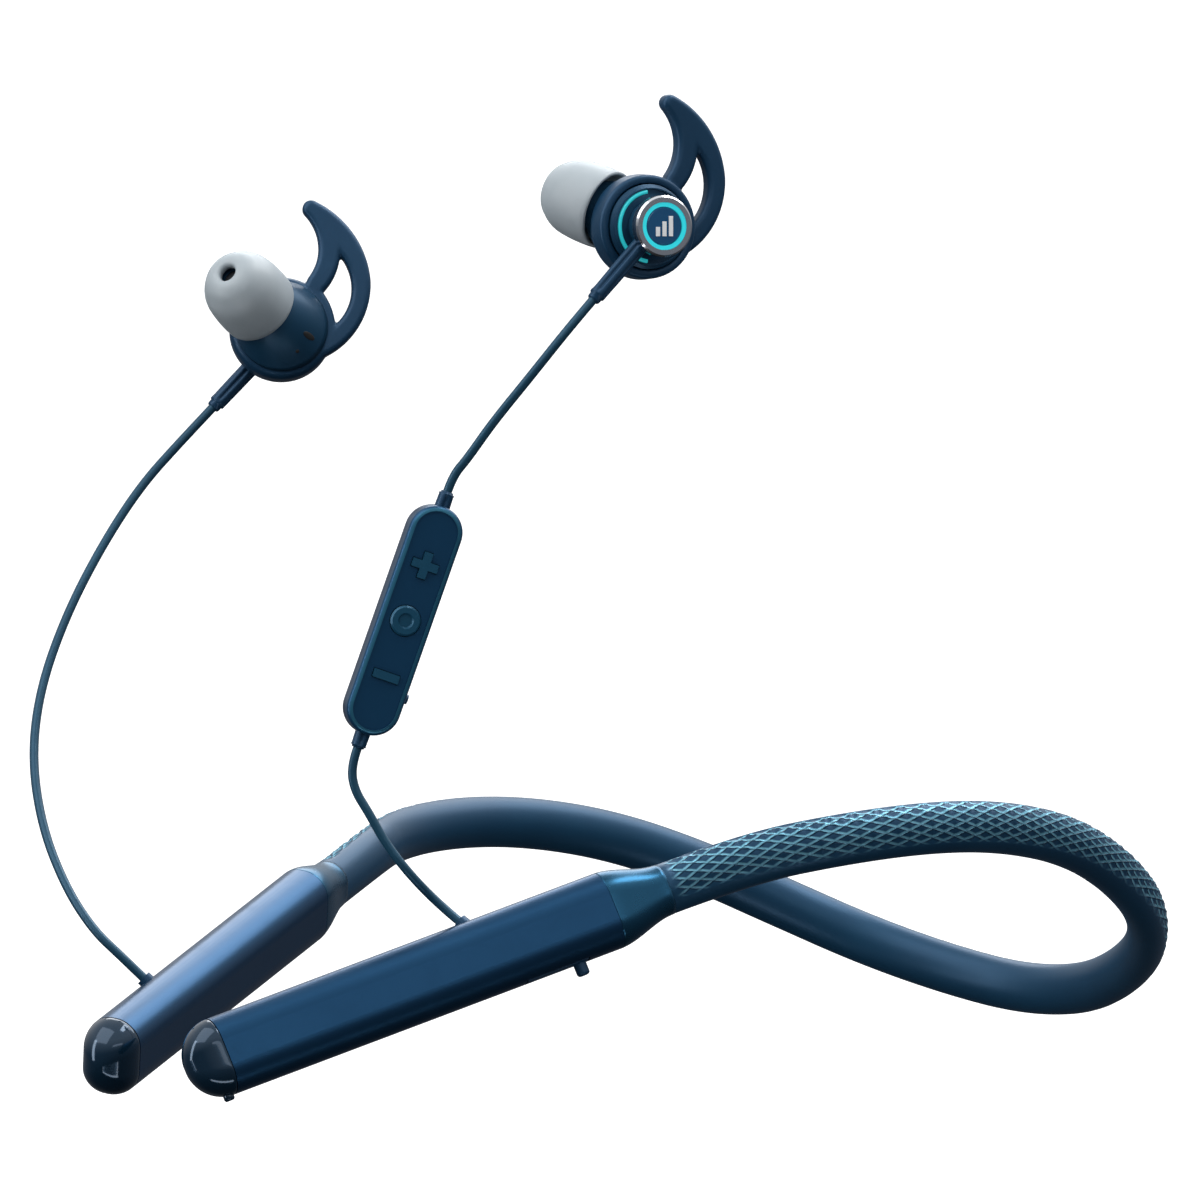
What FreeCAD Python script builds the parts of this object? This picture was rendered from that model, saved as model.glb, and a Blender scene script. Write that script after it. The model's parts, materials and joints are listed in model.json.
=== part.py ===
"""Neckband earphones with two hanging earbuds and an in-line remote, in millimetres.

Frame: +Z up, the wearer faces -Y, +X is the wearer's left. The origin is the point of
the band that rests on the back of the neck.
"""
import math
import os

import FreeCAD
import Part
import Sketcher

V = FreeCAD.Vector
doc = FreeCAD.newDocument("neckband_earphones")
sheet = doc.addObject("Spreadsheet::Sheet", "sizes")

SIZES = {
    "band_dia": 7.7, "band_bore": 2.6, "core_dia": 1.8, "collar_len": 10.5,
    "pod_tall": 13.0, "pod_thick": 9.4, "pod_corner": 4.4, "pod_len": 70.5, "cap_len": 6.3,
    "pod_wall": 1.2, "pod_lip": 1.9, "pod_end": 1.6, "pod_split": 2.4,
    "cord_dia": 1.5, "gland_dia": 2.6, "gland_out": 0.5, "gland_in": 1.9,
    "board_thick": 0.8, "cell_len": 46.0, "cell_thick": 5.2, "cell_tall": 7.2,
    "port_at": 12.0, "port_len": 8.9, "port_wide": 3.2, "port_deep": 6.2, "port_skin": 0.3,
    "flap_len": 11.0, "flap_wide": 3.8, "flap_gap": 0.3,
    "remote_len": 39.0, "remote_wide": 9.0, "remote_thick": 5.4, "remote_wall": 1.0,
    "key_pitch": 9.5, "key_size": 4.4, "key_arm": 1.4, "key_gap": 0.12,
    "ring_key_dia": 5.0, "relief_dia": 2.7, "relief_len": 4.4,
    "bud_dia": 13.8, "bud_wall": 0.8, "wing_dia": 17.2, "wing_gap": 0.1, "wing_thick": 3.2,
    "nozzle_dia": 5.1, "nozzle_bore": 3.2, "nozzle_len": 11.0, "tip_gap": 0.1,
    "boss_dia": 8.4, "trim_dia": 10.0, "glow_dia": 7.7, "disc_dia": 6.3,
    "driver_dia": 10.0, "driver_len": 3.2, "boot_dia": 2.9, "boot_len": 13.5,
}
for row, (alias, size) in enumerate(SIZES.items(), start=1):
    sheet.set(f"A{row}", alias)
    sheet.set(f"B{row}", str(size))
    sheet.setAlias(f"B{row}", alias)
doc.recompute()


class Size:
    """A length that keeps both its number and the sheet expression that gives it."""

    def __init__(self, text, number):
        self.text = text
        self.number = number

    def _with(self, other, sign, number):
        text = other.text if isinstance(other, Size) else repr(float(other))
        return Size(f"({self.text} {sign} {text})", number)

    def __add__(self, other):
        return self._with(other, "+", self.number + float(other))

    def __sub__(self, other):
        return self._with(other, "-", self.number - float(other))

    def __mul__(self, other):
        return self._with(other, "*", self.number * float(other))

    def __neg__(self):
        return self * -1.0

    def __float__(self):
        return self.number


def size(alias):
    return Size(f"sizes.{alias}", float(sheet.get(alias)))


def number(alias):
    return float(sheet.get(alias))


def bind(obj, **sizes):
    """Set each property from a sheet expression, or from a plain number."""
    for name, value in sizes.items():
        if isinstance(value, Size):
            obj.setExpression(name, value.text)
        else:
            setattr(obj, name, value)


made = []


def keep(obj, node, place=None):
    """Name a finished sub-part, and put it in the part's frame."""
    obj.Label = node
    if place is not None:
        obj.Placement = place.multiply(obj.Placement)
    made.append(obj)
    return obj


def block(length, wide, tall, at):
    """A box whose sizes are bound; at is its centre in X and Y and its lowest Z."""
    box = doc.addObject("Part::Box", "block")
    bind(box, Length=length, Width=wide, Height=tall)
    box.Placement.Base = V(at[0] - float(length) / 2, at[1] - float(wide) / 2, at[2])
    return box


def rod(radius, tall, at, along=V(0, 0, 1)):
    """A cylinder from at, along a direction."""
    cylinder = doc.addObject("Part::Cylinder", "rod")
    bind(cylinder, Radius=radius, Height=tall)
    cylinder.Placement = FreeCAD.Placement(V(*at), FreeCAD.Rotation(V(0, 0, 1), along))
    return cylinder


def cut(base, *tools):
    for tool in tools:
        step = doc.addObject("Part::Cut", "cut")
        step.Base, step.Tool = base, tool
        base = step
    return base


def fuse(*shapes):
    joined = doc.addObject("Part::MultiFuse", "fuse")
    joined.Shapes = list(shapes)
    joined.Refine = True
    return joined


def common(base, tool):
    both = doc.addObject("Part::Common", "common")
    both.Base, both.Tool = base, tool
    return both


def group(*shapes):
    """Separate solids that share one node."""
    together = doc.addObject("Part::Compound", "group")
    together.Links = list(shapes)
    return together


def rounded(base, radius, wanted):
    """Fillet the edges that a test picks."""
    doc.recompute()
    fillet = doc.addObject("Part::Fillet", "rounded")
    fillet.Base = base
    fillet.Edges = [(i, radius, radius) for i, edge in enumerate(base.Shape.Edges, start=1) if wanted(edge)]
    return fillet


def runs_along(axis):
    def test(edge):
        ends = [vertex.Point for vertex in edge.Vertexes]
        return len(ends) == 2 and abs((ends[1] - ends[0]).normalize().dot(axis)) > 0.999
    return test


def flat_at(axis, height):
    """Edges that lie in the plane at a height along an axis."""
    def test(edge):
        box = edge.BoundBox
        low = V(box.XMin, box.YMin, box.ZMin).dot(axis)
        high = V(box.XMax, box.YMax, box.ZMax).dot(axis)
        return abs(low - height) < 1e-4 and abs(high - height) < 1e-4
    return test


def solid_part(shape):
    """A sub-part whose shape comes straight from Part's functions."""
    feature = doc.addObject("Part::Feature", "solid")
    feature.Shape = shape
    return feature


def turned(profile):
    """A PartDesign revolution about Z of a closed profile.

    The profile is a list of (radius, height) corners. A corner written with four values
    is reached by an arc that passes through its last two.
    """
    body = doc.addObject("PartDesign::Body", "turned")
    sketch = body.newObject("Sketcher::SketchObject", "profile")
    plane = next(item for item in body.Origin.OriginFeatures if item.Role == "XZ_Plane")
    sketch.AttachmentSupport = [(plane, "")]
    sketch.MapMode = "FlatFace"
    corners = [V(float(point[0]), float(point[1]), 0) for point in profile]
    for i, point in enumerate(profile):
        start, end = corners[i - 1], corners[i]
        if len(point) == 4:
            sketch.addGeometry(Part.Arc(start, V(float(point[2]), float(point[3]), 0), end), False)
            sketch.addConstraint(Sketcher.Constraint("Radius", i, sketch.Geometry[i].Radius))
        else:
            sketch.addGeometry(Part.LineSegment(start, end), False)
    for i, point in enumerate(profile):
        sketch.addConstraint(Sketcher.Constraint("Coincident", i, 2, (i + 1) % len(profile), 1))
        for way, value, axis in (("DistanceX", point[0], -2), ("DistanceY", point[1], -1)):
            if float(value) == 0.0:
                sketch.addConstraint(Sketcher.Constraint("PointOnObject", i, 2, axis))
                continue
            index = sketch.addConstraint(Sketcher.Constraint(way, -1, 1, i, 2, float(value)))
            if isinstance(value, Size):
                sketch.setExpression(f"Constraints[{index}]", value.text)
    revolution = body.newObject("PartDesign::Revolution", "turn")
    revolution.Profile = sketch
    revolution.ReferenceAxis = (sketch, ["V_Axis"])
    revolution.Angle = 360.0
    return body


def frame(origin, x, z):
    """A placement whose X is exact and whose Z is as near z as it can be."""
    x = V(*x).normalize()
    return FreeCAD.Placement(V(*origin), FreeCAD.Rotation(x, V(0, 0, 0), V(*z), "XZY"))


# ---------------------------------------------------------------- routes and tubes

ARC_SHARE = 0.45  # how much of the shorter run an arc may take at each corner


def route(points):
    """Straight runs joined by tangent arcs, with the smallest radius used."""
    points = [V(*point) for point in points]
    edges = []
    radii = []
    last = points[0]
    for before, corner, after in zip(points, points[1:], points[2:]):
        into, out = (corner - before), (after - corner)
        reach = ARC_SHARE * min(into.Length, out.Length)
        half_turn = into.getAngle(out) / 2
        into.normalize()
        out.normalize()
        radius = reach / math.tan(half_turn)
        inward = (out - into).normalize()
        middle = corner + inward * (radius / math.cos(half_turn) - radius)
        start, end = corner - into * reach, corner + out * reach
        edges.append(Part.LineSegment(last, start).toShape())
        edges.append(Part.Arc(start, middle, end).toShape())
        radii.append(radius)
        last = end
    edges.append(Part.LineSegment(last, points[-1]).toShape())
    return Part.Wire(edges), min(radii)


def tube(points, radius, name):
    """A round tube along a route; its volume is compared with section times length."""
    wire, tightest = route(points)
    start = V(*points[0])
    ring = Part.Wire([Part.Circle(start, V(*points[1]) - start, radius).toShape()])
    shape = wire.makePipeShell([ring], True, False)
    expected = math.pi * radius**2 * wire.Length
    print(f"{name}: length {wire.Length:.1f}, tightest radius {tightest:.1f},"
          f" volume {shape.Volume:.1f} of {expected:.1f}")
    return shape


# ---------------------------------------------------------------- neckband

# Corners of the left half of the band, from behind the neck to the left collar.
HALF_BAND = [
    (7.5, 3.85, 0.0), (21.5, -0.2, 3.2), (34.5, -6.8, 8.0), (44.8, -16.7, 14.3),
    (51.2, -29.7, 20.6), (56.0, -44.7, 25.6), (58.4, -61.2, 28.0), (58.6, -77.7, 28.1),
    (54.8, -94.2, 26.2),
]
POD_SEAM = V(37.56, -130.42, 14.55)  # where the left pod meets its collar
POD_AXIS = V(-0.347, -0.878, -0.329).normalize()  # from the seam to the left pod's tip
POD_LEAN = 12.0  # degrees that the top of each pod leans in
LAST_RUN = 15.0  # the band's straight run into the collar


def mirrored(point):
    return V(-point[0], point[1], point[2])


def pod_frame(side):
    """side is 1 for the wearer's left and -1 for the right. X runs to the pod's tip."""
    axis = V(side * POD_AXIS.x, POD_AXIS.y, POD_AXIS.z)
    seam = V(side * POD_SEAM.x, POD_SEAM.y, POD_SEAM.z)
    upright = frame(seam, axis, V(0, 0, 1))
    lean = FreeCAD.Placement(V(0, 0, 0), FreeCAD.Rotation(V(1, 0, 0), side * POD_LEAN))
    return upright.multiply(lean)


def band_points(past_end):
    """The whole band's corners; past_end lengthens both ends into the collars."""
    collar_end = POD_SEAM - POD_AXIS * (number("collar_len") - past_end)
    before = POD_SEAM - POD_AXIS * (number("collar_len") + LAST_RUN)
    half = [V(*point) for point in HALF_BAND] + [before, collar_end]
    return [mirrored(point) for point in reversed(half)] + half


def make_band():
    outer = tube(band_points(0.0), number("band_dia") / 2, "neckband")
    bore = tube(band_points(0.0), number("band_bore") / 2, "band bore")
    keep(solid_part(outer.cut(bore)), "neckband")
    core = tube(band_points(6.0), number("core_dia") / 2, "memory core")
    keep(solid_part(core), "memory_core")


# ---------------------------------------------------------------- pods

def section(x, half_y, half_z, corner):
    """A rounded rectangle across the pod's axis, starting at the same corner each time."""
    edges = []
    flat_y, flat_z = half_y - corner, half_z - corner
    slant = corner * math.sqrt(0.5)
    for sign_y, sign_z in ((1, 1), (-1, 1), (-1, -1), (1, -1)):
        side = V(x, sign_y * half_y, sign_z * flat_z)
        top = V(x, sign_y * flat_y, sign_z * half_z)
        middle = V(x, sign_y * (flat_y + slant), sign_z * (flat_z + slant))
        ends = (side, top) if sign_y == sign_z else (top, side)
        if edges:
            edges.append(Part.LineSegment(edges[-1].Vertexes[-1].Point, ends[0]).toShape())
        edges.append(Part.Arc(ends[0], middle, ends[1]).toShape())
    edges.append(Part.LineSegment(edges[-1].Vertexes[-1].Point, edges[0].Vertexes[0].Point).toShape())
    return Part.Wire(edges)


def make_collar(side):
    """The flared sleeve between the band and a pod: full, then necking in to the band."""
    steps = 6
    sections = []
    for i in range(steps + 1):
        share = i / steps
        eased = share * share * (3 - 2 * share)
        sections.append(section(
            -number("collar_len") * share,
            number("pod_thick") / 2 * (1 - eased) + number("band_dia") / 2 * eased,
            number("pod_tall") / 2 * (1 - eased) + number("band_dia") / 2 * eased,
            number("pod_corner") * (1 - eased) + 0.97 * number("band_dia") / 2 * eased,
        ))
    shape = Part.makeLoft(sections, True, False)
    bore = Part.makeCylinder(number("band_bore") / 2, 30, V(-20, 0, 0), V(1, 0, 0))
    name = "left_collar" if side > 0 else "right_collar"
    keep(solid_part(shape.cut(bore)), name, pod_frame(side))


def make_end_cap(side):
    """The glossy rounded end of a pod, with a moulded pip under the left one."""
    steps = 6
    widest = 82.0  # degrees round the dome at the small flat on its tip
    sections = []
    for i in range(steps + 1):
        angle = math.radians(widest * i / steps)
        shrink = math.cos(angle)
        sections.append(section(
            number("pod_len") + number("cap_len") * math.sin(angle),
            number("pod_thick") / 2 * shrink,
            number("pod_tall") / 2 * shrink,
            number("pod_corner") * shrink,
        ))
    shape = Part.makeLoft(sections, True, False)
    if side > 0:
        pip = Part.makeCylinder(0.9, 2.4, V(number("pod_len") + 1.2, 0, -7.2), V(0, 0, 1))
        shape = shape.fuse(pip)
    keep(solid_part(shape), "left_end_cap" if side > 0 else "right_end_cap", pod_frame(side))


# Where each cord leaves its pod: a point on the pod's surface and the way out of it.
GLANDS = {
    1: (V(23.6, -0.6, 6.5), V(0.38, -0.32, 0.87)),
    -1: (V(51.0, -3.98, 5.06), V(0.05, -0.80, 0.60)),
}


def bar(length, wide, tall, corner, start):
    """A bar along X with its four long edges rounded."""
    plain = block(length, wide, tall, (start + float(length) / 2, 0, -float(tall) / 2))
    return rounded(plain, float(corner), runs_along(V(1, 0, 0)))


def gland_hole(side):
    at, way = GLANDS[side]
    way = V(way).normalize()
    return rod(size("gland_dia") * 0.5 + 0.05, 6.0, at - way * 3.5, way)


def make_pod_shell(side, outward):
    """A pod's shell is a shallow cover on the outward side and a deeper tray behind it."""
    wall, lip = number("pod_wall"), number("pod_lip")
    body = bar(size("pod_len"), size("pod_thick"), size("pod_tall"), size("pod_corner"), 0)
    hollow = bar(size("pod_len") - size("pod_end") * 2, size("pod_thick") - size("pod_wall") * 2,
                 size("pod_tall") - size("pod_lip") * 2, number("pod_corner") - wall,
                 number("pod_end"))
    tools = [hollow, gland_hole(side)]
    if side > 0:
        floor = -number("pod_tall") / 2
        tools.append(block(size("flap_len") + size("flap_gap") * 2, size("flap_wide") + 0.3,
                           2.4, (number("port_at"), 0, floor - 1.0)))
        tools.append(block(size("port_len") + 0.2, size("port_wide") + 0.2, lip + 0.4,
                           (number("port_at"), 0, floor + 0.2)))
    reach = number("pod_thick") / 2 * (1 if outward else -1)
    half = block(size("pod_len") + 2, size("pod_thick"), size("pod_tall") + 2,
                 (number("pod_len") / 2, side * (number("pod_split") + reach), -number("pod_tall") / 2 - 1))
    name = ("left" if side > 0 else "right") + ("_outer_shell" if outward else "_inner_shell")
    keep(common(cut(body, *tools), half), name, pod_frame(side))


def make_gland(side):
    at, way = GLANDS[side]
    way = V(way).normalize()
    plug = rod(size("gland_dia") * 0.5, size("gland_out") + size("gland_in"),
               at - way * number("gland_in"), way)
    keep(plug, "left_cord_gland" if side > 0 else "right_cord_gland", pod_frame(side))


def make_charge_port():
    """The socket under the left pod, its circuit board and the rubber flap over it."""
    floor = -number("pod_tall") / 2
    at = number("port_at")
    base = floor + number("pod_lip")
    can = block(size("port_len"), size("port_wide"), size("port_deep"), (at, 0, base))
    skin = size("port_skin") * 2
    inside = block(size("port_len") - skin, size("port_wide") - skin, size("port_deep") - 0.5,
                   (at, 0, base - 0.01))
    tongue = block(6.7, 0.7, 4.5, (at, 0, base + number("port_deep") - 4.9))
    keep(fuse(cut(can, inside), tongue), "charge_socket", pod_frame(1))

    board = block(52.0, size("board_thick"), 7.2, (31.0, -2.0, -3.6))
    chip = block(7.0, 0.9, 5.0, (34.0, -1.15, -2.5))
    keep(fuse(board, chip), "main_board", pod_frame(1))

    lid = block(size("flap_len"), size("flap_wide"), 1.1, (at, 0, floor))
    outside = bar(size("pod_len"), size("pod_thick"), size("pod_tall"), size("pod_corner"), 0)
    tab = rod(1.1, 2.7, V(at - number("flap_len") / 2 + 1.2, 0, floor - 2.0), V(0, 0, 1))
    tab = rounded(tab, 0.55, flat_at(V(0, 0, 1), floor - 2.0))
    keep(fuse(common(lid, outside), tab), "charge_flap", pod_frame(1))


def make_battery():
    cell = block(size("cell_len"), size("cell_thick"), size("cell_tall"),
                 (36.0, 0, -number("cell_tall") / 2))
    keep(rounded(cell, 1.0, runs_along(V(1, 0, 0))), "battery_cell", pod_frame(-1))


# ---------------------------------------------------------------- remote

# The remote's middle, the way up its length, and the way its keys face.
REMOTE = frame((21.5, -160.5, 61.9), (0.463, 0.825, -0.324), (0.858, -0.509, -0.069))
SPLIT = 0.3  # height of the seam between the remote's shells
FLOOR = 2.45  # height of the sunk face that the keys stand in


def lozenge(wide, long, tall, base):
    """A round-ended block, long along Y."""
    plain = block(wide, long, tall, (0, 0, base))
    return rounded(plain, float(wide) / 2 - 0.05, runs_along(V(0, 0, 1)))


def cross_bars(arm, length, tall, base, middle):
    return fuse(block(length, arm, tall, (0, middle, base)), block(arm, length, tall, (0, middle, base)))


def make_remote_shells():
    wide, long = size("remote_wide"), size("remote_len")
    half = number("remote_thick") / 2
    inset = size("remote_wall") * 2
    pitch, gap = number("key_pitch"), number("key_gap")
    openings = []
    for sign in (1, -1):
        openings.append(rod(size("relief_dia") * 0.5 + 0.05, 4.0,
                            (0, sign * (number("remote_len") / 2 - 2.5), 0), V(0, sign, 0)))

    back = lozenge(wide, long, half + SPLIT, -half)
    back = rounded(back, 1.2, flat_at(V(0, 0, 1), -half))
    hollow = lozenge(wide - inset, long - inset, 5.0, -half + number("remote_wall"))
    boot_hole = rod(0.85, 3.0, (3.0, -12.0, -0.9), V(1, 0, 0))
    keep(cut(back, hollow, boot_hole, *openings), "remote_back_shell", REMOTE)

    front = lozenge(wide, long, half - SPLIT, SPLIT)
    front = rounded(front, 0.9, flat_at(V(0, 0, 1), half))
    hollow = lozenge(wide - inset, long - inset, 1.7 - SPLIT, SPLIT)
    sunk = lozenge(wide - 1.8, long - 1.8, 1.0, FLOOR)
    wider = size("key_arm") + gap * 2
    longer = size("key_size") + gap * 2
    holes = [
        cross_bars(wider, longer, 3.0, 1.0, pitch),
        rod(size("ring_key_dia") * 0.5 + gap, 3.0, (0, 0, 1.0)),
        block(longer, wider, 3.0, (0, -pitch, 1.0)),
    ]
    openings = [doc.copyObject(opening) for opening in openings]
    keep(cut(front, hollow, sunk, *holes, *openings), "remote_front_shell", REMOTE)


def make_keys():
    """The three keys: each a cap in its opening and a flange that holds it in."""
    low, flange, rise = 1.2, 0.4, 1.7
    pitch = number("key_pitch")
    plus = fuse(cross_bars(size("key_arm"), size("key_size"), rise, low, pitch),
                block(5.2, 5.2, flange, (0, pitch, low)))
    keep(plus, "plus_key", REMOTE)
    minus = fuse(block(size("key_size"), size("key_arm"), rise, (0, -pitch, low)),
                 block(5.2, 2.4, flange, (0, -pitch, low)))
    keep(minus, "minus_key", REMOTE)
    radius = size("ring_key_dia") * 0.5
    top = low + rise
    ring = turned([(0.0, low), (radius + 0.4, low), (radius + 0.4, low + flange), (radius, low + flange),
                   (radius, top - 0.3), (radius - 0.3, top), (1.3, top), (1.0, top - 0.35),
                   (0.0, top - 0.35)])
    keep(ring, "play_key", REMOTE)


def make_remote_insides():
    keep(block(6.0, 32.0, 0.6, (0, 0, -0.6)), "remote_board", REMOTE)
    switches = [block(2.6, 2.6, 0.8, (0, sign * number("key_pitch"), 0)) for sign in (1, 0, -1)]
    keep(group(*switches), "key_switches", REMOTE)
    keep(rod(0.8, 1.9, (3.4, -12.0, -0.9), V(1, 0, 0)), "mic_boot", REMOTE)
    for sign, name in ((1, "remote_upper_relief"), (-1, "remote_lower_relief")):
        boot = rod(size("relief_dia") * 0.5, size("relief_len"),
                   (0, sign * (number("remote_len") / 2 - 1.9), 0), V(0, sign, 0))
        keep(boot, name, REMOTE)


# ---------------------------------------------------------------- earbuds

# Each bud's middle, the way towards the ear along its axis, and its upward way.
BUD_AT = {1: V(39.9, -125.2, 125.7), -1: V(-41.2, -131.6, 109.8)}
BUD_INTO_EAR = {1: V(-0.951, 0.309, 0.0), -1: V(0.767, -0.610, 0.200)}
NOZZLE_ROOT = (3.0, 2.2, 3.0)  # away from the wing, up, and towards the ear
NOZZLE_WAY = (0.5, 0.33, 0.80)
RELIEF_WAY = (0.682, -0.731)  # away from the wing and down
RELIEF_LEVEL = -6.2  # where the relief leaves the neck behind the housing


def bud_frame(side):
    """Z points into the ear and Y is up. The wing stands on the side * -X side."""
    z = V(BUD_INTO_EAR[side]).normalize()
    x = V(0, 0, 1).cross(z).normalize()
    y = z.cross(x)
    return FreeCAD.Placement(BUD_AT[side], FreeCAD.Rotation(x, y, z, "ZXY"))


def nozzle_frame(side):
    """Z runs out along the nozzle from its root."""
    root = V(side * NOZZLE_ROOT[0], NOZZLE_ROOT[1], NOZZLE_ROOT[2])
    way = V(side * NOZZLE_WAY[0], NOZZLE_WAY[1], NOZZLE_WAY[2]).normalize()
    return FreeCAD.Placement(root, FreeCAD.Rotation(V(0, 0, 1), way))


def make_bud_housings(side, name):
    radius = size("bud_dia") * 0.5
    inside = radius - size("bud_wall")
    boss = size("boss_dia") * 0.5
    rear = turned([
        (radius, 0.0), (radius, -3.5), (6.3, -3.9), (6.3, -4.7), (6.1, -4.7), (6.1, -4.3),
        (5.3, -4.3), (5.3, -4.7), (boss, -4.7), (boss, -7.7), (2.6, -7.7), (2.6, -3.0),
        (inside, -3.0), (inside, 0.0),
    ])
    way = V(side * RELIEF_WAY[0], RELIEF_WAY[1], 0)
    hole = rod(size("boot_dia") * 0.5 + 0.03, 4.0, way * 1.5 + V(0, 0, RELIEF_LEVEL), way)
    keep(cut(rear, hole), name + "_rear_housing", bud_frame(side))

    front = turned([
        (inside, 0.0), (radius, 0.0), (radius, 2.2), (4.4, 4.9, 6.2, 3.9), (0.0, 5.6),
        (0.0, 4.8), (4.0, 4.0), (inside, 2.0),
    ])
    stem = rod(size("nozzle_dia") * 0.5, size("nozzle_len"), (0, 0, 0))
    stem.Placement = nozzle_frame(side)
    sound_hole = rod(size("nozzle_bore") * 0.5, size("nozzle_len") + 2, (0, 0, 0))
    sound_hole.Placement = nozzle_frame(side).multiply(FreeCAD.Placement(V(0, 0, -1), FreeCAD.Rotation()))
    keep(cut(fuse(front, stem), sound_hole), name + "_front_housing", bud_frame(side))


def make_bud_insides(side, name):
    driver = rod(size("driver_dia") * 0.5, size("driver_len"), (0, 0, -2.2))
    keep(driver, name + "_driver", bud_frame(side))
    screen = rod(size("nozzle_bore") * 0.5 - 0.05, 0.2, (0, 0, 0))
    screen.Placement = nozzle_frame(side).multiply(
        FreeCAD.Placement(V(0, 0, number("nozzle_len") - 0.4), FreeCAD.Rotation()))
    keep(screen, name + "_nozzle_screen", bud_frame(side))


def make_bud_trim(side, name):
    """The rings and the disc on the outer face of a bud."""
    halo = turned([(5.35, -4.3), (5.35, -4.7), (6.05, -4.7), (6.05, -4.3)])
    keep(halo, name + "_halo_ring", bud_frame(side))
    trim, glow = size("trim_dia") * 0.5, size("glow_dia") * 0.5
    disc = size("disc_dia") * 0.5
    ring = turned([
        (0.0, -7.7), (trim - 0.3, -7.7), (trim, -8.0), (trim, -9.4), (trim - 0.3, -9.7),
        (glow + 0.05, -9.7), (glow + 0.05, -8.5), (0.0, -8.5),
    ])
    keep(ring, name + "_trim_ring", bud_frame(side))
    keep(turned([(disc + 0.05, -8.5), (disc + 0.05, -9.6), (glow, -9.6), (glow, -8.5)]),
         name + "_glow_ring", bud_frame(side))
    keep(turned([(0.0, -8.5), (0.0, -9.6), (disc - 0.2, -9.6), (disc, -9.4), (disc, -8.5)]),
         name + "_bud_disc", bud_frame(side))


def make_bud_relief(side, name):
    way = V(side * RELIEF_WAY[0], RELIEF_WAY[1], 0)
    boot = rod(size("boot_dia") * 0.5, size("boot_len"), way * 2.9 + V(0, 0, RELIEF_LEVEL), way)
    keep(boot, name + "_bud_relief", bud_frame(side))


def make_ear_tip(side, name):
    """A silicone dome whose stem grips the nozzle and whose skirt hangs free."""
    grip = size("nozzle_dia") * 0.5 + size("tip_gap")
    tip = turned([
        (grip, 5.0), (3.5, 5.0), (3.5, 9.6), (5.6, 7.9, 4.9, 9.2), (5.95, 2.6),
        (6.5, 2.6), (6.3, 8.2, 6.6, 5.4), (4.9, 11.4, 5.75, 10.0), (2.6, 13.3, 3.9, 12.7),
        (1.6, 13.1), (1.6, 11.9), (grip, 11.4),
    ])
    tip.Placement = nozzle_frame(side)
    keep(tip, name + "_ear_tip", bud_frame(side))


def make_wing(side, name):
    """A silicone sleeve round the housing with a pierced fin that hooks in the ear."""
    bore = size("bud_dia") * 0.5 + size("wing_gap")
    outer = size("wing_dia") * 0.5
    sleeve = turned([
        (bore, -3.4), (outer - 0.7, -3.4), (outer, -2.2), (outer, 0.4),
        (bore + 0.3, 2.6, outer - 0.5, 1.8), (bore, 2.6),
    ])
    body = doc.addObject("PartDesign::Body", "fin")
    sketch = body.newObject("Sketcher::SketchObject", "outline")
    plane = next(item for item in body.Origin.OriginFeatures if item.Role == "XY_Plane")
    sketch.AttachmentSupport = [(plane, "")]
    sketch.MapMode = "FlatFace"
    outline = [  # corner, then a point that the arc to the next corner passes through
        ((5.5, -6.6), (12.0, -1.2)), ((14.8, 8.0), (12.1, 15.8)), ((5.9, 21.3), (4.2, 21.0)),
        ((3.9, 19.3), (6.2, 14.0)), ((4.2, 7.4), None),
    ]
    window = [((9.8, 12.2), (8.8, 8.8)), ((6.6, 5.6), (8.0, 3.3)), ((8.7, 0.2), None),
              ((9.1, 0.0), (11.6, 6.2))]
    for loop in (outline, window):
        first = len(sketch.Geometry)
        for i, (corner, through) in enumerate(loop):
            start, end = (V(-side * p[0], p[1], 0) for p in (corner, loop[(i + 1) % len(loop)][0]))
            if through is None:
                sketch.addGeometry(Part.LineSegment(start, end), False)
            else:
                sketch.addGeometry(Part.Arc(start, V(-side * through[0], through[1], 0), end), False)
        sketch.addConstraint(Sketcher.Constraint("Block", first))
    pad = body.newObject("PartDesign::Pad", "pad")
    pad.Profile = sketch
    pad.setExpression("Length", size("wing_thick").text)
    pad.Midplane = True
    clear = rod(bore, 20.0, (0, 0, -10.0))
    keep(cut(fuse(sleeve, body), clear), name + "_wing", bud_frame(side))


# ---------------------------------------------------------------- cords

CORDS = {
    "left_lower_cord": [
        (26.47, -152.54, 12.98), (23.18, -154.42, 15.93), (21.9, -160.1, 21.3), (19.5, -162.8, 26.2),
        (17.9, -164.6, 30.6), (16.3, -166.3, 34.3), (15.91, -166.70, 38.12), (16.62, -165.91, 41.14),
    ],
    "left_upper_cord": [
        (26.38, -155.09, 82.66), (27.00, -154.40, 85.30), (28.8, -152.9, 88.0), (32.1, -150.3, 93.9),
        (36.8, -146.6, 101.1), (41.07, -141.65, 109.32), (42.34, -137.76, 113.71),
    ],
    "right_cord": [
        (-22.05, -178.28, 3.57), (-24.67, -180.96, 7.18), (-28.5, -183.5, 11.3),
        (-34.7, -184.1, 18.2), (-41.4, -183.4, 27.9), (-47.5, -180.4, 39.2), (-51.5, -175.2, 50.5),
        (-53.6, -167.8, 62.5), (-54.6, -159.2, 73.9), (-54.9, -150.5, 83.8),
        (-53.52, -143.07, 91.08), (-51.04, -138.07, 96.81),
    ],
}


def make_cords():
    for name, points in CORDS.items():
        keep(solid_part(tube(points, number("cord_dia") / 2, name)), name)


# ---------------------------------------------------------------- build and write

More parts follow.
